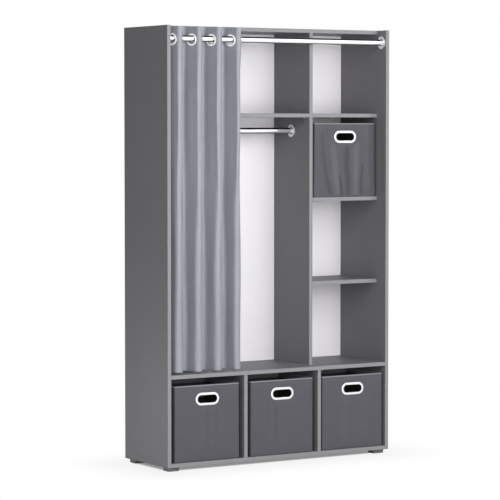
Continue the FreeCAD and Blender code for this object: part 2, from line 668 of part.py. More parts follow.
def write_parts():
    os.makedirs("parts", exist_ok=True)
    for node, shapes in solids.items():
        tools = cutters.get(node)
        pieces = []
        for shape in shapes:
            pieces += (shape.cut(tools) if tools else shape).Solids
        whole = pieces[0] if len(pieces) == 1 else Part.makeCompound(pieces)
        whole.exportStep(f"parts/{node}.step")


make_boards()
make_back()
make_shelves()
join_sides()
join_dividers()
make_feet()
make_rods()
make_curtain()
make_boxes()
write_parts()
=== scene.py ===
import json
import math
import random
from collections import Counter

import bpy
import numpy as np
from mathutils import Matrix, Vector


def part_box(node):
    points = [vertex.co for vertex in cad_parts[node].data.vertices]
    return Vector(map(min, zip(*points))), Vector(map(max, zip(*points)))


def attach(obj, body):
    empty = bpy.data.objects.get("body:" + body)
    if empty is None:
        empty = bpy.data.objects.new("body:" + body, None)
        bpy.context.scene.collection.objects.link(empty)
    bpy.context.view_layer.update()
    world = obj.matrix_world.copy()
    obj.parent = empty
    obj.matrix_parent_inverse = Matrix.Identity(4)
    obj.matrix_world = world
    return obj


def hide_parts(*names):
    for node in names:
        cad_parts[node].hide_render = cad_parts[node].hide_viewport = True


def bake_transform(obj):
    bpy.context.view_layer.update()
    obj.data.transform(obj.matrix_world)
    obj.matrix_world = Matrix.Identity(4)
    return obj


# The looks of the open kids wardrobe, in metres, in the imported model's frame: +X right, +Y back, +Z up.

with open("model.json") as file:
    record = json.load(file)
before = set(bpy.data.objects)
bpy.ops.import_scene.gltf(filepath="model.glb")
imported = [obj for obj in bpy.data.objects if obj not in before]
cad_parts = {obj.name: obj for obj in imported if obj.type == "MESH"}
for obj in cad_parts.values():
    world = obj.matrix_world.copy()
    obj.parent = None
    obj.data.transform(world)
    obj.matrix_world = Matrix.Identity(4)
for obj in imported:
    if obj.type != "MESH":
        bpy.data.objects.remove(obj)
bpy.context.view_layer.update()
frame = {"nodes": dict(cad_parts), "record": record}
nodes = frame["nodes"]

MM = 0.001
BOXES = ("box_left", "box_middle", "box_right", "box_column")
EYELETS = 8


def middle(node):
    low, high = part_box(node)
    return (low + high) / 2


def smooth(low, high, value):
    """A soft step from 0 at low to 1 at high, which may be the smaller of the two."""
    t = np.clip((value - low) / (high - low), 0, 1)
    return t * t * (3 - 2 * t)


# Materials

def screen(red, green, blue):
    """A colour given in 8-bit screen values, as the linear values that shaders take."""
    levels = [value / 255 for value in (red, green, blue)]
    linear = [v / 12.92 if v < 0.04045 else ((v + 0.055) / 1.055) ** 2.4 for v in levels]
    return (*linear, 1.0)


WHITE = (1.0, 1.0, 1.0, 1.0)
PAINTED_DARK_REFLECTION = screen(26, 26, 28)
PAINTED_SIDE_SHADE = screen(30, 30, 33)
WAVE_RADIANS = 20  # of the wave texture's bands, for each unit of its scale
STITCH_SHARE = 0.7  # of a seam's pitch, the rest is the gap between two stitches
MIX_FIRST, MIX_SECOND, MIX_RESULT = 6, 7, 2  # the mix node's sockets for colours


class Material:
    """A node material. Each call adds a node and gives back its output."""

    def __init__(self, name, **surface):
        self.data = bpy.data.materials.new(name)
        self.data.use_nodes = True
        self.tree = self.data.node_tree
        self.shader = self.tree.nodes["Principled BSDF"]
        self.surface(**surface)

    def fill(self, node, inputs):
        for key, value in inputs.items():
            if isinstance(value, bpy.types.NodeSocket):
                self.tree.links.new(value, node.inputs[key])
            else:
                node.inputs[key].default_value = value

    def surface(self, **inputs):
        """Sets the shader's inputs, named with underscores for blanks."""
        named = {key.replace("_", " "): value for key, value in inputs.items()}
        self.fill(self.shader, named)

    def add(self, kind, inputs, output=0, **settings):
        node = self.tree.nodes.new("ShaderNode" + kind)
        for key, value in settings.items():
            setattr(node, key, value)
        self.fill(node, inputs)
        return node.outputs[output]

    def place(self):
        return self.add("TexCoord", {}, "Object")

    def cut(self):
        """Places on the flat cloth, in metres."""
        return self.add("UVMap", {}, uv_map="cut")

    def facing(self, axis):
        normal = self.add("TexCoord", {}, "Normal")
        return self.add("SeparateXYZ", {0: normal}, axis)

    def math(self, operation, first, second=0.0):
        return self.add("Math", {0: first, 1: second}, operation=operation)

    def ramp(self, value, low, high, to_low=0.0, to_high=1.0):
        """Maps low and high to new values, softly, and holds them outside."""
        inputs = {"Value": value, "From Min": low, "From Max": high, "To Min": to_low, "To Max": to_high}
        return self.add("MapRange", inputs, interpolation_type="SMOOTHSTEP")

    def noise(self, at, scale, detail=2.0):
        return self.add("TexNoise", {"Vector": at, "Scale": scale, "Detail": detail})

    def vary(self, noise, low, high):
        """Values from low to high that follow a noise, which mostly stays between 0.3 and 0.7."""
        return self.ramp(noise, 0.3, 0.7, low, high)

    def stretched(self, at, x, y, z):
        return self.add("VectorMath", {0: at, 1: (x, y, z)}, operation="MULTIPLY")

    def mix(self, share, first, second):
        inputs = {0: share, MIX_FIRST: first, MIX_SECOND: second}
        return self.add("Mix", inputs, MIX_RESULT, data_type="RGBA")

    def shade(self, colour, amount):
        """A colour made lighter or darker by an amount near 1."""
        return self.add("VectorMath", {0: colour, "Scale": amount}, operation="SCALE")

    def bump(self, height, depth):
        """A surface relief, depth metres deep for each unit of height."""
        return self.add("Bump", {"Height": height, "Distance": depth, "Strength": 1.0})

    def weave(self, cloth, pitch, height):
        """A plain weave: 0 between the threads, and the height on top of them."""
        scale = math.tau / pitch / WAVE_RADIANS
        threads = [
            self.add("TexWave", {"Vector": cloth, "Scale": scale}, "Fac", bands_direction=axis)
            for axis in ("X", "Y")
        ]
        return self.math("MULTIPLY", self.math("ADD", *threads), height / 2)

    def stitches(self, cloth, line, width, pitch):
        """1 on the threads of a seam that runs along the cloth at a height, and 0 elsewhere."""
        along = self.add("SeparateXYZ", {0: cloth}, "X")
        across = self.add("SeparateXYZ", {0: cloth}, "Y")
        off = self.math("ABSOLUTE", self.math("SUBTRACT", across, line))
        near = self.math("LESS_THAN", off, width / 2)
        step = self.math("FRACT", self.math("DIVIDE", along, pitch))
        return self.math("MULTIPLY", near, self.math("LESS_THAN", step, STITCH_SHARE))


def board_material():
    """Grey melamine with a fine pearl grain; faces turned to the front, the edge bands, are painted a shade
    lighter as painted light from the front.
    """
    m = Material("grey_board", Specular_IOR_Level=0.1)
    at = m.place()
    clouds = m.noise(at, 3.0, 4.0)
    grain = m.noise(at, 1400.0)
    face = m.mix(clouds, screen(117, 116, 119), screen(124, 123, 126))
    # Painted light: faces turned to the front get a lighter colour than the sides.
    painted_front_light = m.ramp(m.facing("Y"), -0.6, -0.9)
    colour = m.mix(painted_front_light, face, screen(139, 138, 141))
    m.surface(
        Base_Color=m.shade(colour, m.vary(grain, 0.93, 1.06)),
        Roughness=m.vary(m.noise(at, 60.0), 0.40, 0.50),
        Normal=m.bump(grain, 0.05 * MM),
    )
    return m.data


def back_material():
    """Thin fibreboard: white lacquer towards the front, bare brown fibre behind."""
    m = Material("back_sheet", Specular_IOR_Level=0.35)
    at = m.place()
    fibres = m.noise(at, 720.0, 6.0)
    mottle = m.noise(at, 5.0, 3.0)
    white = m.mix(mottle, screen(246, 243, 246), screen(250, 247, 250))
    brown = m.mix(fibres, screen(122, 92, 62), screen(160, 126, 90))
    rear = m.ramp(m.facing("Y"), 0.5, 0.8)
    m.surface(
        Base_Color=m.mix(rear, white, brown),
        Roughness=m.vary(fibres, 0.50, 0.62),
        Normal=m.bump(fibres, 0.06 * MM),
    )
    return m.data


def metal_material(name, colour, roughness, metallic=1.0, painted_dark_lines=False, painted_shade_axis=None):
    """Polished metal with faint wiping marks in its gloss.

    Metal with painted dark lines has dark reflections painted along its top and bottom, and its flanges are
    satin.
    Metal given an axis for painted shade has painted shade on its sides, which face away from that axis.
    """
    m = Material(name, Metallic=metallic)
    at = m.place()
    marks = m.noise(m.stretched(at, 1.0, 6.0, 6.0), 40.0, 3.0)
    colour = m.shade(colour[:3], m.vary(m.noise(at, 25.0), 0.95, 1.0))
    if painted_dark_lines:
        # Painted reflections: dark lines along the top and bottom, in the colour and in the gloss's tint.
        up = m.facing("Z")
        above = m.math("MULTIPLY", m.ramp(up, 0.42, 0.58), m.ramp(up, 0.93, 0.99, 1.0, 0.0))
        below = m.math("MULTIPLY", m.ramp(up, -0.60, -0.78), m.ramp(up, -0.90, -0.98, 1.0, 0.0))
        line = m.math("MAXIMUM", above, below)
        colour = m.mix(line, colour, PAINTED_DARK_REFLECTION)
        flange = m.ramp(m.math("ABSOLUTE", m.facing("X")), 0.6, 0.9, 0.7, 0.05)
        m.surface(Specular_Tint=m.mix(line, WHITE, PAINTED_DARK_REFLECTION), Metallic=flange)
    if painted_shade_axis:
        # Painted shade: sides turned away from the axis are painted dark.
        side = m.ramp(m.math("ABSOLUTE", m.facing(painted_shade_axis)), 0.70, 0.45)
        colour = m.mix(side, colour, PAINTED_SIDE_SHADE)
    m.surface(
        Base_Color=colour,
        Roughness=m.vary(marks, *roughness),
        Normal=m.bump(marks, 0.004 * MM),
    )
    return m.data


def wood_material():
    """Plain beech with a fine grain."""
    m = Material("dowel_wood", Roughness=0.7)
    grain = m.noise(m.stretched(m.place(), 40.0, 300.0, 300.0), 2.0, 4.0)
    m.surface(
        Base_Color=m.mix(grain, screen(196, 160, 116), screen(222, 192, 150)),
        Normal=m.bump(grain, 0.1 * MM),
    )
    return m.data


def plastic_material():
    """Grey moulded plastic with a fine spark-eroded texture."""
    m = Material("foot_plastic", Specular_IOR_Level=0.4)
    at = m.place()
    pores = m.noise(at, 1800.0, 3.0)
    m.surface(
        Base_Color=m.mix(m.noise(at, 90.0), screen(92, 92, 95), screen(102, 102, 105)),
        Roughness=m.vary(pores, 0.48, 0.62),
        Normal=m.bump(pores, 0.08 * MM),
    )
    return m.data


def box_fabric_material():
    """Woven dark grey cloth with a bound, stitched rim, with painted shade in its dents and painted light
    on its bulges.

    Its places are in metres, with the box's top at 0.
    """
    m = Material("box_fabric", Sheen_Weight=0.1, Sheen_Roughness=0.5, Specular_IOR_Level=0.25)
    cloth = m.cut()
    threads = m.weave(cloth, 1.2 * MM, 0.25)
    slubs = m.noise(m.stretched(cloth, 300.0, 40.0, 1.0), 1.0, 3.0)
    clouds = m.noise(cloth, 12.0, 3.0)
    seam = m.stitches(cloth, -HEM_SEAM, 0.9 * MM, 4.0 * MM)
    height = m.add("SeparateXYZ", {0: cloth}, "Y")
    binding = m.ramp(height, -BINDING - 1 * MM, -BINDING + 1 * MM)
    colour = m.mix(clouds, screen(79, 78, 84), screen(86, 85, 91))
    colour = m.mix(binding, colour, screen(128, 127, 133))
    colour = m.shade(colour, m.vary(slubs, 0.95, 1.05))
    crease = m.add("Attribute", {}, "Fac", attribute_name="crease")
    # Painted shade in the creases' dents and painted light on their bulges, from how far the creases lift
    # the cloth.
    colour = m.shade(colour, m.ramp(crease, -1.7 * MM, -0.4 * MM, 0.72, 1.0))
    colour = m.shade(colour, m.ramp(crease, 0.4 * MM, 2.2 * MM, 1.0, 1.28))
    m.surface(
        Base_Color=m.mix(seam, colour, screen(104, 103, 109)),
        Roughness=m.vary(slubs, 0.78, 0.92),
        Normal=m.bump(m.math("ADD", threads, seam), 0.08 * MM),
    )
    return m.data


def box_board_material():
    """Grey felt-faced board inside the boxes."""
    m = Material("box_board", Roughness=0.95, Specular_IOR_Level=0.15)
    at = m.place()
    felt = m.noise(at, 700.0, 4.0)
    colour = m.mix(felt, screen(66, 66, 70), screen(84, 84, 88))
    m.surface(
        Base_Color=m.shade(colour, m.vary(m.noise(at, 9.0), 0.94, 1.05)),
        Normal=m.bump(felt, 0.2 * MM),
    )
    return m.data


def curtain_material():
    """Grey satin: a fine upright weave with a soft sheen, and stitched hems."""
    m = Material("curtain_fabric", Sheen_Weight=0.25, Sheen_Roughness=0.35, Specular_IOR_Level=0.5)
    cloth = m.cut()
    threads = m.weave(cloth, 0.8 * MM, 0.2)
    slubs = m.noise(m.stretched(cloth, 900.0, 25.0, 1.0), 1.0, 3.0)
    clouds = m.noise(cloth, 6.0, 3.0)
    seam = m.stitches(cloth, cloth_low.z + CURTAIN_SEAM, 0.8 * MM, 3.5 * MM)
    colour = m.mix(clouds, screen(134, 136, 144), screen(142, 144, 152))
    colour = m.shade(colour, m.vary(slubs, 0.95, 1.05))
    m.surface(
        Base_Color=m.mix(seam, colour, screen(116, 119, 127)),
        Roughness=m.vary(slubs, 0.40, 0.52),
        Normal=m.bump(m.math("ADD", threads, seam), 0.05 * MM),
    )
    return m.data


# Meshes

def mesh_piece(name, points, faces, cut, material, normals=None):
    """A smooth mesh with its places on the flat cloth, one for each vertex."""
    mesh = bpy.data.meshes.new(name)
    mesh.from_pydata([tuple(p) for p in points], [], faces)
    layer = mesh.uv_layers.new(name="cut")
    for loop in mesh.loops:
        layer.data[loop.index].uv = cut[loop.vertex_index]
    for polygon in mesh.polygons:
        polygon.use_smooth = True
    if normals is not None:
        mesh.normals_split_custom_set_from_vertices([tuple(n) for n in normals])
    mesh.materials.append(material)
    piece = bpy.data.objects.new(name, mesh)
    bpy.context.scene.collection.objects.link(piece)
    return piece


def renumber(faces):
    """The faces with their vertices numbered without gaps, and the vertices that they used before."""
    used = sorted({v for face in faces for v in face})
    order = {v: n for n, v in enumerate(used)}
    return [[order[v] for v in face] for face in faces], used


# Curtain

CLOTH = 1.2 * MM
CURL_TURN = math.radians(30)  # the side hems curl past the outer eyelets
BODY_CURL_TURN = math.radians(75)
CURL_STEPS = 6
FLANK_STEPS = 12  # of the straight cloth through an eyelet
CREST_STEPS = 18
HEADER_BELOW_ROD = 34 * MM  # the folds keep the header's shape down to here
BODY_BELOW_ROD = 150 * MM  # and have the body's shape from here on

# The folds below the header: the turn and the radius of a crest's front, the radius of the bends to its
# left and right, and the straight cloth on the flanks. They are creased above and rounder below.
UPPER_FOLD = (math.radians(18), 40 * MM, 4 * MM, 8 * MM, 53 * MM)
LOWER_FOLD = (math.radians(110), 19 * MM, 14 * MM, 14 * MM, 32 * MM)
ROUNDER_BELOW = 1.30  # heights above the floor
ROUNDEST_BELOW = 0.75
EVEN_SLOPES = (math.radians(5), math.radians(89))  # where the slope of a fold's flanks is looked for
CREASED_SLOPES = (math.radians(15), math.radians(120))
HALVINGS = 60
FOLD_LEAN = -3.5 * MM  # the folds hang a little beside their eyelets

# How far the front of each crest turns, from the left, as a share of the fold's turn.
CREST_FRONTS = (1.0, 1.0, 1.15, 0.6)

# Unevenness of the hanging cloth: its height, and the ranges of its wavelengths across and up the cloth.
SWAY = (1.1 * MM, (0.12, 0.34), (0.5, 1.3))
SWELL = (0.5 * MM, (0.12, 0.30), (0.6, 1.4))
FINE_CREASES = (0.35 * MM, (0.030, 0.055), (0.25, 0.7))
FINE_CREASE_COUNT = 7
FREE_CLOTH = 0.35  # the unevenness sets in over this height below the header
CREASE_SEED = 11

CURTAIN_HEM = 22 * MM
CURTAIN_SEAM = CURTAIN_HEM - 2 * MM  # above the lower edge, like the rows of the hem
CURTAIN_HEM_ROWS = [d * MM for d in (25, 23, 22, 21, 20, 19, 16, 12, 8, 4, 1.2, 0.4, 0)]
HEM_STEP = 1 * MM  # the hem's double cloth ends over this height
SEAM_DENT = 0.8 * MM  # half the width that the seam pulls in
SIDE_HEM = 16 * MM
SIDE_HEM_STEP = 2 * MM
HEM_FOLD = 0.9 * MM  # extra thickness of a hem
EDGE_ROUND = 0.9 * MM
EDGE_SHARE = 0.35  # of the thickness, left at the very edge
TOP_ROWS = (0.0, 0.4 * MM, 1.2 * MM)  # below the upper edge, closer than the header's other rows
HEADER_ROW = 4 * MM
BODY_ROW = 14 * MM
EYELET_CUT = 20.4 * MM  # radius of the cloth's hole, under the eyelet's ring

cloth_low, cloth_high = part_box("curtain_cloth")
eyelet_middles = [middle(f"curtain_eyelet_{i + 1}") for i in range(EYELETS)]


def solve(low, high, too_small):
    """The angle up to which a test holds, found by halving."""
    for _ in range(HALVINGS):
        angle = (low + high) / 2
        if too_small(angle):
            low = angle
        else:
            high = angle
    return angle


def even_fold(pitch, depth, straight):
    """The slope of a fold's flanks and the radius of its crests and valleys, for a pitch and a depth."""
    def radius(slope):
        return (pitch - straight * math.cos(slope)) / (2 * math.sin(slope))

    def too_shallow(slope):
        return straight / 2 * math.sin(slope) + radius(slope) * (1 - math.cos(slope)) < depth

    slope = solve(*EVEN_SLOPES, too_shallow)
    return slope, radius(slope)


def creased_fold(pitch, length, fold):
    """The flanks' slope, the valleys' radius and both flanks' straight cloth, for a pitch and its cloth."""
    turn, front, left, right, straight = fold
    bend = (left + right) / 2

    def valley(slope):
        free = length - straight - front * turn / 2 - bend * (slope - turn / 2)
        return free / slope

    def too_wide(slope):
        crest = front * math.sin(turn / 2) + bend * (math.sin(slope) - math.sin(turn / 2))
        return crest + straight * math.cos(slope) + valley(slope) * math.sin(slope) > pitch

    slope = solve(*CREASED_SLOPES, too_wide)
    uneven = (right - left) * (math.cos(turn / 2) - math.cos(slope)) / math.sin(slope)
    return slope, valley(slope), (straight + uneven / 2, straight - uneven / 2)


def arc(turn, radius, steps):
    """A stretch of cloth: how far it turns to the left, its length and its number of steps."""
    return turn, abs(turn) * radius, steps


def crest_arcs(slope, fold, share):
    """A crest with a flatter front between two bends."""
    turn, front, left, right = fold[:4]
    turn *= share
    side = slope - turn / 2
    steps = CREST_STEPS // 3
    return [arc(side, left, steps), arc(turn, front, steps), arc(side, right, steps)]


def eyelet_column(i):
    return CURL_STEPS + FLANK_STEPS // 2 + i * (FLANK_STEPS + CREST_STEPS)


def plan_line(slope, flanks, crests, valley, curl_turn):
    """The cloth's line in plan as rows of x, y and cloth walked, with the first eyelet at 0."""
    curl = arc(-curl_turn, valley, CURL_STEPS)
    dip = arc(-2 * slope, valley, CREST_STEPS)
    stretches = [curl]
    for i in range(EYELETS):
        stretches.append((0.0, flanks[i % 2], FLANK_STEPS))
        if i < EYELETS - 1:
            stretches += [dip] if i % 2 else crests[i // 2]
    stretches.append(curl)
    heading = curl_turn - slope
    line = [np.zeros(3)]
    for turn, length, steps in stretches:
        bend, walked = turn / steps, length / steps
        chord = walked * np.sinc(bend / 2 / np.pi)
        for _ in range(steps):
            heading += bend / 2
            line.append(line[-1] + (chord * math.cos(heading), chord * math.sin(heading), walked))
            heading += bend / 2
    return np.array(line) - line[eyelet_column(0)]


def body_line(pitch, length, fold, header):
    """The plan of the folds below the eyelets, at the header's places on the cloth."""
    slope, valley, flanks = creased_fold(pitch, length, fold)
    crests = [crest_arcs(slope, fold, share) for share in CREST_FRONTS]
    line = plan_line(slope, flanks, crests, valley, BODY_CURL_TURN)
    first_crest = eyelet_column(0) + (FLANK_STEPS + CREST_STEPS) // 2
    line += (header[first_crest] - line[first_crest]) * (1, 0, 1) + (FOLD_LEAN, 0, 0)
    body = np.stack([np.interp(header[:, 2], line[:, 2], line[:, i]) for i in (0, 1)], 1)
    body[:, 1] -= (body[:, 1].max() + body[:, 1].min()) / 2
    return body


def curtain_lines():
    """The cloth's plan at the header, and the plans of the folds below it, above and near the floor."""
    pitch = eyelet_middles[1].x - eyelet_middles[0].x
    depth = (cloth_high.y - cloth_low.y) / 2 - CLOTH / 2
    ring_low, ring_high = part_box("curtain_eyelet_1")
    straight = ring_high.z - ring_low.z
    slope, radius = even_fold(pitch, depth, straight)
    crests = [[arc(2 * slope, radius, CREST_STEPS)]] * (EYELETS // 2)
    header = plan_line(slope, (straight, straight), crests, radius, CURL_TURN)
    length = straight + 2 * radius * slope
    upper, lower = [body_line(pitch, length, fold, header) for fold in (UPPER_FOLD, LOWER_FOLD)]
    return header, upper, lower


def cloth_heights(header_z):
    """The heights of the cloth's rows, from its upper edge down."""
    top, bottom = cloth_high.z, cloth_low.z
    header = [*[top - d for d in TOP_ROWS], *np.arange(top - HEADER_ROW, header_z, -HEADER_ROW)]
    hem = [bottom + d for d in CURTAIN_HEM_ROWS]
    rows = round((header[-1] - hem[0]) / BODY_ROW)
    body = np.linspace(header[-1], hem[0], rows + 1)[1:-1]
    return np.array([*header, *body, *hem])


def waves(chance, run, heights, unevenness, count=5):
    """Slow random waves over the cloth."""
    high, across, upright = unevenness
    total = np.zeros((len(heights), len(run)))
    for _ in range(count):
        along = run / chance.uniform(*across) + chance.random()
        up = heights / chance.uniform(*upright) + chance.random()
        total += np.outer(np.sin(2 * np.pi * up), np.sin(2 * np.pi * along))
    return total * (2 / count ** 0.5) * high


def cloth_middle(heights, header, upper, lower, header_z):
    """The cloth's middle surface: the header's even folds above, creased and less even ones below."""
    run = header[:, 2]
    down = smooth(header_z, middle("curtain_rod").z - BODY_BELOW_ROD, heights)[:, None]
    free = smooth(header_z, header_z - FREE_CLOTH, heights)[:, None]
    rounder = smooth(ROUNDER_BELOW, ROUNDEST_BELOW, heights)[:, None]
    chance = random.Random(CREASE_SEED)
    sway = waves(chance, run, heights, SWAY)
    swell = waves(chance, run, heights, SWELL)
    creases = waves(chance, run, heights, FINE_CREASES, FINE_CREASE_COUNT)
    grid = np.empty((len(heights), len(run), 3))
    for i, uneven in ((0, sway), (1, swell + creases)):
        body = upper[:, i] + (lower[:, i] - upper[:, i]) * rounder
        folds = header[:, i] + (body - header[:, i]) * down
        grid[:, :, i] = eyelet_middles[0][i] + folds + free * uneven
    grid[:, :, 2] = heights[:, None]
    return grid


def surface_normals(grid):
    """Unit normals of a grid of points, towards the back where rows go down and columns to the right."""
    across = np.gradient(grid, axis=1)
    down = np.gradient(grid, axis=0)
    normal = np.cross(across, down)
    return normal / np.linalg.norm(normal, axis=2, keepdims=True)


def cloth_thickness(run, heights):
    """Double at the hems, with the lower hem's seam pulled in and all edges rounded."""
    above = (heights - cloth_low.z)[:, None]
    below = (cloth_high.z - heights)[:, None]
    beside = np.minimum(run - run[0], run[-1] - run)
    lower_hem = 1 - smooth(CURTAIN_HEM - HEM_STEP, CURTAIN_HEM, above)
    side_hem = 1 - smooth(SIDE_HEM - SIDE_HEM_STEP, SIDE_HEM, beside)
    seam = np.exp(-(((above - CURTAIN_SEAM) / SEAM_DENT) ** 2))
    edge = np.minimum(np.minimum(above, below), beside)
    rounded = np.sqrt(1 - (1 - np.clip(edge / EDGE_ROUND, 0, 1)) ** 2)
    doubled = np.maximum(lower_hem, side_hem) - seam
    return (CLOTH + doubled * HEM_FOLD) * (EDGE_SHARE + (1 - EDGE_SHARE) * rounded)


def cut_eyelets(grid, run, heights):
    """Moves the points round each eyelet's hole onto its circle, and says which cells of the cloth stay."""
    kept = np.ones((len(heights) - 1, len(run) - 1), bool)
    for i, eyelet in enumerate(eyelet_middles):
        column = eyelet_column(i)
        flank = range(column - FLANK_STEPS // 2, column + FLANK_STEPS // 2 + 1)
        along = run - run[column]
        up = heights - eyelet.z
        cell_along = (along[:-1] + along[1:]) / 2
        cell_up = (up[:-1] + up[1:]) / 2
        hole = np.hypot(cell_along[None, :], cell_up[:, None]) < EYELET_CUT
        kept &= ~hole
        centre = grid[0, column].copy()
        centre[2] = eyelet.z
        side = grid[0, column + 1] - grid[0, column - 1]
        side /= np.linalg.norm(side)
        for r in range(1, len(heights) - 1):
            for c in flank:
                cells = hole[r - 1:r + 1, c - 1:c + 1]
                if cells.any() and not cells.all():
                    reach = EYELET_CUT / math.hypot(along[c], up[r])
                    grid[r, c] = centre + side * along[c] * reach + np.array((0, 0, up[r] * reach))
    return kept


def sheet_shell(kept):
    """A closed sheet over the cells that stay: its faces and the points of both sides that they use."""
    rows, columns = kept.shape[0] + 1, kept.shape[1] + 1
    offset = rows * columns
    faces = []
    for r, c in zip(*np.nonzero(kept)):
        corners = [(r, c), (r + 1, c), (r + 1, c + 1), (r, c + 1)]
        loop = [i * columns + j for i, j in corners]
        faces.append(loop)
        faces.append([i + offset for i in reversed(loop)])
        beside = [(r, c - 1), (r + 1, c), (r, c + 1), (r - 1, c)]
        for (i, j), a, b in zip(beside, loop, loop[1:] + loop[:1]):
            inside = 0 <= i < kept.shape[0] and 0 <= j < kept.shape[1] and kept[i, j]
            if not inside:
                faces.append([b, a, a + offset, b + offset])
    return renumber(faces)


def both_sides(front, back, part, used):
    """The values of a piece's vertices, from the grids of the cloth's front and back."""
    size = front.shape[2]
    return np.concatenate([front[part].reshape(-1, size), back[part].reshape(-1, size)])[used]


def hang(piece, i):
    """Lets a side hem of the curtain follow its outer eyelet; the folds between stay where they are."""
    if i in (0, EYELETS):
        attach(piece, f"eyelet_{max(i, 1)}")
    else:
        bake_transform(piece)


def make_curtain():
    """The gathered curtain, parted at the eyelets into a piece for each fold and each side hem."""
    header, upper, lower = curtain_lines()
    run = header[:, 2]
    header_z = middle("curtain_rod").z - HEADER_BELOW_ROD
    heights = cloth_heights(header_z)
    grid = cloth_middle(heights, header, upper, lower, header_z)
    kept = cut_eyelets(grid, run, heights)
    half = surface_normals(grid) * cloth_thickness(run, heights)[:, :, None] / 2
    front, back = grid - half, grid + half
    front_normals, back_normals = -surface_normals(front), surface_normals(back)
    cut = np.stack(np.broadcast_arrays(run - run[0], heights[:, None]), axis=2)
    satin = curtain_material()
    names = ["curtain_hem_left", *[f"curtain_fold_{i}" for i in range(1, EYELETS)], "curtain_hem_right"]
    borders = [0, *[eyelet_column(i) for i in range(EYELETS)], len(run) - 1]
    for i, name in enumerate(names):
        a, b = borders[i:i + 2]
        part = np.s_[:, a:b + 1]
        faces, used = sheet_shell(kept[:, a:b])
        points = both_sides(front, back, part, used)
        normals = both_sides(front_normals, back_normals, part, used)
        places = both_sides(cut, cut, part, used)
        piece = mesh_piece(name, points, faces, places, satin, normals)
        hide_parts("curtain_cloth")
        hang(piece, i)


# Fabric boxes

COVER = 1.1 * MM
COVER_CORNER = 5 * MM
LEAST_CORNER = 0.6 * MM  # of the hem that is turned in
COVER_FOOT = 3 * MM  # rounding between a box's walls and its bottom
FOOT_STEPS = 3
RIM = 4.9 * MM  # thickness of a box's wall, which the hem turns over
RIM_STEPS = 6
TURN_IN = 18 * MM
TURN_IN_ROWS = (0.15, 0.5, 0.85, 1.0)  # as shares of it
BINDING = 5 * MM  # the rim is bound down to here
HEM_SEAM = 15 * MM  # below the box's top
HEM_ROWS = [d * MM for d in (-2, -0.7, 0, 0.7, 2, 5, 9)]  # above the seam
SEAM_GROOVE = 0.35 * MM
SEAM_GROOVE_HALF = 0.7 * MM
FRONT_CELL = 4.4 * MM
SIDE_CELL = 6.5 * MM
CORNER_STEPS = 6
PIPING = 1.0 * MM  # the sewn upright edges stand this proud
PIPING_SPREAD = 0.16  # as a share of a corner's turn
FRONT_PUFF = 2.6 * MM  # slack of the cover over its front board
SIDE_PUFF = 1.2 * MM
PUFF_RISE = 25 * MM  # the slack sets in over this height from the bottom
PUFF_TOP = 40 * MM  # and goes back from here below the top to the seam
CREASE_RISE = 12 * MM
COLUMN_FLARE = 4 * MM  # the box in the column widens this much on each side, towards its bottom
BAY_FLARE = 0.5 * MM
FLARE_POWER = 1.5
HOLE_ROUND = 2.7 * MM  # the cover's hole is this much larger than the finger hole
HOLE_EDGE = 8.1 * MM  # open edges nearer than this to the finger hole are the cover's hole
HANDLE_BAND = 9.5 * MM
SMOOTH_ROUND_HANDLE = 22 * MM

# Creases of a box's front: points as shares of its width and height from the lower left, then the width
# and the height of the crease.
COLUMN_CREASES = (
    (((0.12, 0.80), (0.14, 0.58), (0.19, 0.30), (0.27, 0.06)), 16 * MM, -2.0 * MM),
    (((0.03, 0.96), (0.05, 0.65), (0.06, 0.35)), 8 * MM, 1.8 * MM),
    (((0.30, 0.66), (0.33, 0.40), (0.37, 0.10)), 22 * MM, 2.2 * MM),
    (((0.535, 0.70), (0.535, 0.40), (0.565, 0.05)), 17 * MM, -2.0 * MM),
    (((0.42, 0.24), (0.45, 0.04)), 7 * MM, -3.2 * MM),
    (((0.68, 0.72), (0.68, 0.35), (0.66, 0.06)), 20 * MM, 2.2 * MM),
    (((0.79, 0.38), (0.76, 0.20), (0.78, 0.04)), 9 * MM, -2.6 * MM),
    (((0.07, 0.22), (0.08, 0.04)), 4 * MM, -1.8 * MM),
    (((0.87, 0.90), (0.88, 0.50), (0.89, 0.15)), 14 * MM, 2.0 * MM),
    (((0.20, 0.94), (0.23, 0.75)), 10 * MM, -1.4 * MM),
    (((0.97, 0.90), (0.97, 0.10)), 6 * MM, -1.6 * MM),
)
CREASE_FADE = 0.35  # creases fade this much less steeply up and down than to their sides
BAY_CREASES = 9
BAY_CREASE_HEIGHT = 1.1 * MM


def bay_creases(seed):
    """A few faint upright creases."""
    chance = random.Random(seed)
    creases = []
    for i in range(BAY_CREASES):
        x = (i + chance.uniform(0.2, 0.8)) / BAY_CREASES
        low, high = chance.uniform(0.03, 0.3), chance.uniform(0.6, 0.95)
        height = chance.choice((-1, 1)) * chance.uniform(0.4, 1.0) * BAY_CREASE_HEIGHT
        lean = chance.uniform(-0.03, 0.03)
        creases.append((((x, high), (x + lean, low)), chance.uniform(6, 14) * MM, height))
    return creases


def crease_height(creases, x, z, width, height):
    """How far the creases move a row of points out, at places from the front's lower left corner."""
    total = np.zeros_like(x)
    for points, wide, high in creases:
        nearest = np.full_like(x, np.inf)
        for (ax, az), (bx, bz) in zip(points, points[1:]):
            a = np.array((ax * width, az * height))
            step = np.array((bx * width, bz * height)) - a
            share = np.clip(((x - a[0]) * step[0] + (z - a[1]) * step[1]) / (step @ step), 0, 1)
            away = np.hypot(x - a[0] - share * step[0], (z - a[1] - share * step[1]) * CREASE_FADE)
            nearest = np.minimum(nearest, away)
        total += high * np.exp(-((nearest / wide) ** 2))
    return total


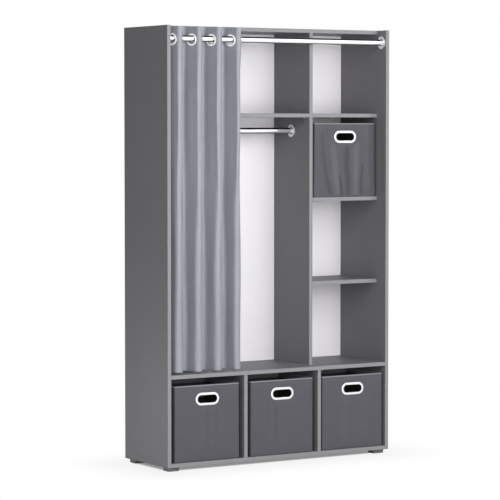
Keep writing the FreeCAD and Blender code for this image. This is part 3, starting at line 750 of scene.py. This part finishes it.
class HandleHole:
    """A box's finger hole: a bar with round ends, of which it keeps the radius and half the bar."""

    def __init__(self, handle):
        self.middle = middle(handle)
        low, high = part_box(handle)
        self.end = (high.z - low.z) / 2 - HANDLE_BAND
        self.half = (high.x - low.x) / 2 - HANDLE_BAND - self.end

    def gap(self, x, z):
        """Distance of points from the hole, less than 0 inside it."""
        beyond = np.maximum(np.abs(x - self.middle.x) - self.half, 0)
        return np.hypot(beyond, z - self.middle.z) - self.end

    def trim(self, points, faces):
        """Moves the points on the edge of the cover's hole onto its outline."""
        edges = (edge for face in faces for edge in zip(face, face[1:] + face[:1]))
        uses = Counter(tuple(sorted(edge)) for edge in edges)
        for v in {v for edge, count in uses.items() if count == 1 for v in edge}:
            if self.gap(points[v, 0], points[v, 2]) < HOLE_EDGE:
                x, z = points[v, 0] - self.middle.x, points[v, 2] - self.middle.z
                base = min(max(x, -self.half), self.half)
                reach = (self.end + HOLE_ROUND) / math.hypot(x - base, z)
                points[v, 0] = self.middle.x + base + (x - base) * reach
                points[v, 2] = self.middle.z + z * reach


class CoverRing:
    """The points round a box cover from above: the front from left to right, and on to the left side."""

    def __init__(self, low, high):
        self.low, self.high = low, high
        self.width, self.depth, self.height = high - low
        sides, corners, shares = [], [], []
        for side, length in enumerate((self.width, self.depth) * 2):
            cells = round(length / (SIDE_CELL if side else FRONT_CELL))
            for steps, corner in ((cells, False), (CORNER_STEPS, True)):
                sides += [side] * steps
                corners += [corner] * steps
                shares += list(np.arange(steps) / steps)
        self.side, self.corner, self.share = np.array(sides), np.array(corners), np.array(shares)
        self.front = self.side == 0
        self.piping = np.where(self.corner, np.exp(-(((self.share - 0.5) / PIPING_SPREAD) ** 2)), 0.0)
        self.slack = np.where(self.corner, 0.0, np.sin(np.pi * self.share) ** 0.5)
        steps = np.linalg.norm(np.diff(self.at(0.0)[0], axis=0), axis=1)
        self.walked = np.concatenate([[0], np.cumsum(steps)])

    def at(self, inset):
        """Points and outward directions at an inset from the outer wall."""
        corner = max(COVER_CORNER - inset, LEAST_CORNER)
        x0, x1 = self.low.x + inset + corner, self.high.x - inset - corner
        y0, y1 = self.low.y + inset + corner, self.high.y - inset - corner
        corners = np.array([(x0, y0), (x1, y0), (x1, y1), (x0, y1)])
        start, end = corners[self.side], corners[(self.side + 1) % 4]
        along = np.where(self.corner, 1.0, self.share)[:, None]
        angle = (self.side - 1 + np.where(self.corner, self.share, 0.0)) * np.pi / 2
        outward = np.stack([np.cos(angle), np.sin(angle)], 1)
        return start + (end - start) * along + outward * corner, outward


def cover_profile(low, high):
    """The cover's rows as insets and heights: up the outer wall, over the rim and down inside."""
    rows = []
    for i in range(FOOT_STEPS + 1):
        a = math.pi / 2 * i / FOOT_STEPS
        rows.append((COVER_FOOT * (1 - math.sin(a)), low.z + COVER_FOOT * (1 - math.cos(a))))
    hem = [high.z - HEM_SEAM + d for d in HEM_ROWS]
    start = low.z + COVER_FOOT
    cells = round((hem[0] - start) / FRONT_CELL)
    rows += [(0.0, start + (hem[0] - start) * i / cells) for i in range(1, cells)]
    rows += [(0.0, z) for z in hem]
    for i in range(RIM_STEPS + 1):
        a = math.pi * i / RIM_STEPS
        rows.append((RIM / 2 * (1 - math.cos(a)), high.z - RIM / 2 * (1 - math.sin(a))))
    rows += [(RIM, high.z - RIM / 2 - TURN_IN * share) for share in TURN_IN_ROWS]
    return rows


def wall_relief(ring, x, z, creases, hole):
    """How far a row of the outer walls stands out, and how far its creases alone lift it."""
    low, high = ring.low, ring.high
    clear = smooth(HANDLE_BAND, HANDLE_BAND + SMOOTH_ROUND_HANDLE, hole.gap(x, z))
    upright = smooth(low.z, low.z + PUFF_RISE, z) * (1 - smooth(high.z - PUFF_TOP, high.z - HEM_SEAM, z))
    puff = ring.slack * upright * np.where(ring.front, FRONT_PUFF * clear, SIDE_PUFF)
    lift = crease_height(creases, x - low.x, z - low.z, ring.width, ring.height)
    lift = lift * ring.slack * clear * smooth(low.z, low.z + CREASE_RISE, z)
    lift = np.where(ring.front, lift, 0.0)
    groove = SEAM_GROOVE * np.exp(-(((z - high.z + HEM_SEAM) / SEAM_GROOVE_HALF) ** 2))
    return np.maximum(puff + lift, 0.0) + ring.piping * PIPING - groove * (1 - ring.piping), lift


def cover_grid(ring, profile, creases, flare, hole):
    """The cover's points, their places on the flat cloth and how far creases lift them, row by row."""
    shape = (len(profile), len(ring.side))
    points, cut, lifts = np.empty((*shape, 3)), np.empty((*shape, 2)), np.zeros(shape)
    for r, (inset, z) in enumerate(profile):
        spots, outward = ring.at(inset)
        if inset == 0.0:
            relief, lifts[r] = wall_relief(ring, spots[:, 0], z, creases, hole)
            spots = spots + outward * relief[:, None]
        down = 1 - (z - ring.low.z) / ring.height
        widen = 1 + 2 * flare / ring.width * down ** FLARE_POWER
        points[r, :, 0] = (spots[:, 0] - hole.middle.x) * widen + hole.middle.x
        points[r, :, 1] = spots[:, 1]
        points[r, :, 2] = z
        cut[r, :, 0] = ring.walked
        cut[r, :, 1] = z - ring.high.z if inset < RIM / 2 else ring.high.z - z
    return points, cut, lifts


def cover_faces(points, profile, ring, hole):
    """The faces of the walls, without those in the handle's hole, and the bottom."""
    count = len(ring.side)
    faces = []
    for r, (inset, _) in enumerate(profile[:-1]):
        for c in range(count):
            following = (c + 1) % count
            corners = [(r, c), (r, following), (r + 1, following), (r + 1, c)]
            centre = sum(points[corner] for corner in corners) / 4
            in_hole = hole.gap(centre[0], centre[2]) < HOLE_ROUND
            if not (in_hole and ring.front[c] and inset == 0.0):
                faces.append([i * count + j for i, j in corners])
    faces.append(list(reversed(range(count))))
    return faces


def make_cover(name, creases, flare, material):
    """A box's cover, with its hem turned in over the rim and a hole for the handle."""
    low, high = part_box(f"{name}_cover")
    hole = HandleHole(f"{name}_handle")
    ring = CoverRing(low, high)
    profile = cover_profile(low, high)
    grid, cut, lifts = cover_grid(ring, profile, creases, flare, hole)
    faces = cover_faces(grid, profile, ring, hole)
    points = grid.reshape(-1, 3)
    hole.trim(points, faces)
    faces, used = renumber(faces)
    places = cut.reshape(-1, 2)[used]
    piece = mesh_piece(f"{name}_fabric", points[used], faces, places, material)
    crease = piece.data.attributes.new("crease", "FLOAT", "POINT")
    crease.data.foreach_set("value", lifts.reshape(-1)[used])
    cloth = piece.modifiers.new("cloth", "SOLIDIFY")
    cloth.thickness = COVER
    cloth.offset = -1
    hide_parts(f"{name}_cover")
    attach(piece, name)


# Finish of the pieces that come from the frame

def finish_frame():
    """Gives each piece the material of its slot."""
    by_slot = {
        "board": board_material(),
        "back_sheet": back_material(),
        "chrome": metal_material("chrome", screen(240, 241, 243), (0.06, 0.14), painted_dark_lines=True),
        "eyelet_metal": metal_material(
            "eyelet_metal", screen(250, 250, 252), (0.12, 0.22), metallic=0.1, painted_shade_axis="X"
        ),
        "handle_rim": metal_material(
            "handle_rim", screen(232, 232, 234), (0.16, 0.26), metallic=0.3, painted_shade_axis="Y"
        ),
        "fastener_steel": metal_material("fastener_steel", screen(176, 176, 180), (0.25, 0.4)),
        "dowel_wood": wood_material(),
        "foot_plastic": plastic_material(),
        "box_board": box_board_material(),
    }
    for part in frame["record"]["subparts"]:
        if part["material_slot"] in by_slot:
            materials = nodes[part["node"]].data.materials
            materials.clear()
            materials.append(by_slot[part["material_slot"]])


# Stage

AMBIENT = 0.01
FLOOR_SIZE = 14.0
FLOOR_GREY = (0.5, 0.5, 0.5, 1.0)
BASE_HALF = (0.50, 0.125)  # half of the floor that the wardrobe covers, in x and y
CONTACT_SHADOW = 0.03  # reach of the painted shadow round the base, through which the real shadows show
SOFT_SHADOW = 0.35
WHITE_AT_BASE = 0.25  # share of pure white in the floor that is seen; less of it towards the base paints shade there
WHITE_PAST_CONTACT = 0.86


def seen_directly(tree):
    """1 for rays from the camera and for what metal and glass show, 0 for rays that light things."""
    path = tree.nodes.new("ShaderNodeLightPath")
    value = path.outputs["Is Camera Ray"]
    for kind in ("Is Glossy Ray", "Is Transmission Ray"):
        largest = tree.nodes.new("ShaderNodeMath")
        largest.operation = "MAXIMUM"
        tree.links.new(value, largest.inputs[0])
        tree.links.new(path.outputs[kind], largest.inputs[1])
        value = largest.outputs[0]
    return value


def make_world():
    """White where it is seen, with next to no light of its own."""
    world = bpy.data.worlds.new("studio")
    bpy.context.scene.world = world
    world.use_nodes = True
    tree = world.node_tree
    strength = tree.nodes.new("ShaderNodeMapRange")
    strength.inputs["To Min"].default_value = AMBIENT
    tree.links.new(seen_directly(tree), strength.inputs["Value"])
    background = tree.nodes["Background"]
    background.inputs["Color"].default_value = WHITE
    tree.links.new(strength.outputs[0], background.inputs["Strength"])


def make_floor():
    """A grey floor that is seen as white, apart from a painted shadow round the base through which its real
    shadow shows.
    """
    half = FLOOR_SIZE / 2
    corners = [(x * half, y * half, 0) for x, y in ((-1, -1), (1, -1), (1, 1), (-1, 1))]
    mesh = bpy.data.meshes.new("floor")
    mesh.from_pydata(corners, [], [(0, 1, 2, 3)])
    floor = bpy.data.objects.new("floor", mesh)
    bpy.context.scene.collection.objects.link(floor)
    m = Material("floor", Base_Color=FLOOR_GREY, Roughness=0.9, Specular_IOR_Level=0.0)
    spans = m.add("VectorMath", {0: m.place()}, operation="ABSOLUTE")
    beyond = m.add("VectorMath", {0: spans, 1: (*BASE_HALF, 0.0)}, operation="SUBTRACT")
    beyond = m.add("VectorMath", {0: beyond, 1: (0.0, 0.0, 0.0)}, operation="MAXIMUM")
    distance = m.add("VectorMath", {0: beyond}, "Value", operation="LENGTH")
    # Painted shadow: the seen floor turns from white to its own lit grey towards the base.
    near = m.ramp(distance, 0.0, CONTACT_SHADOW, WHITE_AT_BASE, WHITE_PAST_CONTACT)
    far = m.ramp(distance, CONTACT_SHADOW, SOFT_SHADOW, 0.0, 1 - WHITE_PAST_CONTACT)
    share = m.math("MULTIPLY", m.math("ADD", near, far), seen_directly(m.tree))
    white = m.add("Emission", {"Color": WHITE, "Strength": 1.0})
    both = m.add("MixShader", {0: share, 1: m.shader.outputs[0], 2: white})
    m.tree.links.new(both, m.tree.nodes["Material Output"].inputs["Surface"])
    mesh.materials.append(m.data)


def softbox(name, at, aim, width, height, watts):
    """A flat light that is turned towards its aim."""
    lamp = bpy.data.lights.new(name, "AREA")
    lamp.shape = "RECTANGLE"
    lamp.size, lamp.size_y = width, height
    lamp.energy = watts
    light = bpy.data.objects.new(name, lamp)
    light.location = at
    light.rotation_euler = (Vector(aim) - Vector(at)).to_track_quat("-Z", "Y").to_euler()
    bpy.context.scene.collection.objects.link(light)


# Name, place, aim, width, height and power of each light.
LIGHTS = (
    ("wide_light", (-1.9, -3.1, 1.9), (-0.5, 0.0, 1.2), 5.0, 3.4, 108),
    ("level_light", (0.3, -5.0, 1.2), (0.0, 0.0, 0.9), 2.4, 2.0, 80),
    ("right_light", (2.4, -3.8, 2.6), (0.0, 0.0, 1.0), 2.0, 2.0, 68),
    ("near_light", (0.4, -2.8, 2.1), (0.0, -0.1, 1.4), 1.6, 1.2, 13),
    ("low_light", (-1.3, -0.2, 0.12), (-0.5, 0.0, 0.08), 0.8, 0.2, 2.5),
    ("top_light", (0.0, 0.1, 2.9), (0.0, 0.1, 1.8), 0.9, 0.2, 8),
    ("side_light", (4.5, 0.9, 1.5), (0.5, 0.0, 0.9), 2.4, 2.4, 120),
    ("rear_light", (0.6, 4.6, 1.8), (0.0, 0.0, 0.9), 3.0, 2.4, 160),
)


def make_lights():
    for light in LIGHTS:
        softbox(*light)


# The camera that the carcass corners in the photo give.
CAMERA_AT = (-5.2001, -8.2657, 1.3869)
CAMERA_YAW = math.radians(31.968)
CAMERA_PITCH = math.radians(3.068)
CAMERA_LENS = 170.18
CAMERA_SENSOR = 36.0


def make_camera():
    """The camera that shows the wardrobe as the photo does."""
    data = bpy.data.cameras.new("camera")
    data.lens = CAMERA_LENS
    data.sensor_width = CAMERA_SENSOR
    data.clip_end = 100.0
    camera = bpy.data.objects.new("camera", data)
    camera.location = CAMERA_AT
    level = math.cos(CAMERA_PITCH)
    ahead = Vector((level * math.sin(CAMERA_YAW), level * math.cos(CAMERA_YAW), -math.sin(CAMERA_PITCH)))
    camera.rotation_euler = ahead.to_track_quat("-Z", "Y").to_euler()
    bpy.context.scene.collection.objects.link(camera)
    bpy.context.scene.camera = camera


make_camera()
make_world()
make_floor()
make_lights()
finish_frame()
make_curtain()
fabric = box_fabric_material()
for number, box_name in enumerate(BOXES):
    if box_name == "box_column":
        make_cover(box_name, COLUMN_CREASES, COLUMN_FLARE, fabric)
    else:
        make_cover(box_name, bay_creases(number), BAY_FLARE, fabric)

bpy.context.scene.view_settings.view_transform = "Standard"
